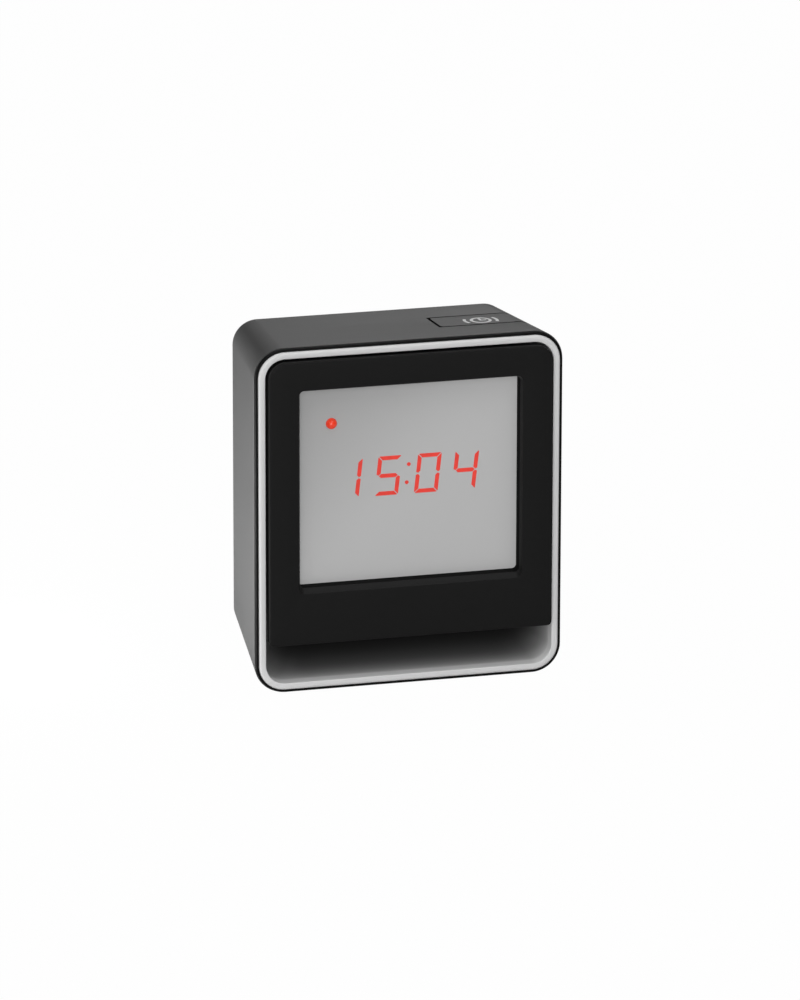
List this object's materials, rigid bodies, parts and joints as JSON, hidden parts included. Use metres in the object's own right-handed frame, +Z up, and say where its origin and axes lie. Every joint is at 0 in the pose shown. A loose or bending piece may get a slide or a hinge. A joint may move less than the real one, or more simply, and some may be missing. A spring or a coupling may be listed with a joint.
{
  "type": "digital alarm clock",
  "caption": "Small tapered desk clock that leans back, with a lit four-digit display behind a grey window, an open dish below the front plate and a press key let into the top corner.",
  "frame": {"origin": "middle of the bottom of the clock's bounding box, level with the undersides of the feet", "axes": "+X to the right seen from the front, +Y to the back, +Z up; the clock stands on its feet and its front leans back"},
  "size_m": [0.092, 0.0582, 0.1046],
  "materials": {
    "case": "dark grey moulded plastic with a satin sheen",
    "silver": "satin silver lacquer",
    "gasket": "matt black",
    "black_satin": "satin black, moulded",
    "grey_lens": "grey film behind a clear face",
    "red_light": "lit red light guide",
    "white_plastic": "white moulding",
    "steel": "plated steel",
    "board": "green circuit board",
    "component": "black moulding",
    "key_plastic": "dark grey plastic",
    "cell_sleeve": "plain blue sleeve",
    "wire": "grey insulation",
    "rubber": "matt black rubber"
  },
  "bodies": {
    "clock": {"alarm_slide_switch": "component", "battery_bay": "black_satin", "battery_leads": "wire", "buzzer": "component", "cable_sockets": "white_plastic", "case_shell": "case", "clock_chip": "component", "clock_crystal": "steel", "colon_dots": "red_light", "cover_screws": "steel", "display_board": "board", "display_light_block": "white_plastic", "display_screws": "steel", "driver_chip": "component", "front_gasket": "gasket", "front_plate": "black_satin", "front_tray": "silver", "hour_tens_bars": "red_light", "hour_units_bars": "red_light", "indicator_lamp": "red_light", "lamp_leads": "steel", "lens_carrier": "black_satin", "lower_cell": "cell_sleeve", "main_board": "board", "main_board_screws": "steel", "middle_cell": "cell_sleeve", "minute_tens_bars": "red_light", "minute_units_bars": "red_light", "negative_contacts": "steel", "positive_contacts": "steel", "rear_cover": "black_satin", "ribbon_cable": "wire", "rubber_feet": "rubber", "set_switches": "component", "top_board_screws": "steel", "top_switch": "component", "top_switch_board": "board", "unlit_bars": "grey_lens", "upper_cell": "cell_sleeve", "window_lens": "grey_lens"},
    "key": {"top_key": "case", "top_switch_stem": "component"},
    "hour_set": {"hour_button": "key_plastic", "hour_switch_stem": "component"},
    "minute_set": {"minute_button": "key_plastic", "minute_switch_stem": "component"},
    "alarm_set": {"alarm_button": "key_plastic", "alarm_switch_stem": "component"},
    "alarm_onoff": {"alarm_slider": "key_plastic"},
    "door": {"battery_door": "black_satin"}
  },
  "joints": [
    {"name": "key_press", "type": "slide", "parent": "clock", "child": "key", "axis": [0, -0.0991, -0.9951], "range_m": [0, 0.0007], "stiffness_N_per_m": 300, "springref_m": -0.001},
    {"name": "hour_press", "type": "slide", "parent": "clock", "child": "hour_set", "axis": [0, -0.9951, 0.0991], "range_m": [0, 0.0006], "stiffness_N_per_m": 300, "springref_m": -0.001},
    {"name": "minute_press", "type": "slide", "parent": "clock", "child": "minute_set", "axis": [0, -0.9951, 0.0991], "range_m": [0, 0.0006], "stiffness_N_per_m": 300, "springref_m": -0.001},
    {"name": "alarm_press", "type": "slide", "parent": "clock", "child": "alarm_set", "axis": [0, -0.9951, 0.0991], "range_m": [0, 0.0006], "stiffness_N_per_m": 300, "springref_m": -0.001},
    {"name": "alarm_slide", "type": "slide", "parent": "clock", "child": "alarm_onoff", "axis": [1, 0, 0], "range_m": [-0.002, 0.002]},
    {"name": "door_hinge", "type": "hinge", "parent": "clock", "child": "door", "pos_m": [0, 0.01866, 0.00945], "axis": [-1, 0, 0], "range_deg": [0, 85]}
  ]
}
